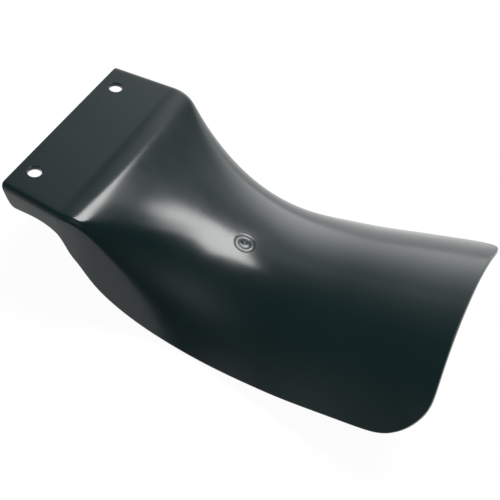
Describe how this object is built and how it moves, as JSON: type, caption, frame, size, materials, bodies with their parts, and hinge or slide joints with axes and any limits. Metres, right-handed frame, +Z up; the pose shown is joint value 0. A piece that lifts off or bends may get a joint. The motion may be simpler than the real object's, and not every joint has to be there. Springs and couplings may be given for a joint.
{
  "type": "shock mud flap",
  "caption": "Arched moulded-plastic guard with a flat bolt tab, folded side skirts and a swept flap that keeps wheel spray off a motorcycle's rear shock.",
  "frame": {"origin": "midway between the two bolt holes, on the top face of the tab", "axes": "+X from the bolted edge to the flap's free end, +Y across the flap, +Z up along the bolt holes"},
  "size_m": [0.2088, 0.1266, 0.0521],
  "materials": {
    "black_plastic": "glossy black, as moulded"
  },
  "bodies": {
    "root": {"mud_flap": "black_plastic"}
  },
  "joints": []
}
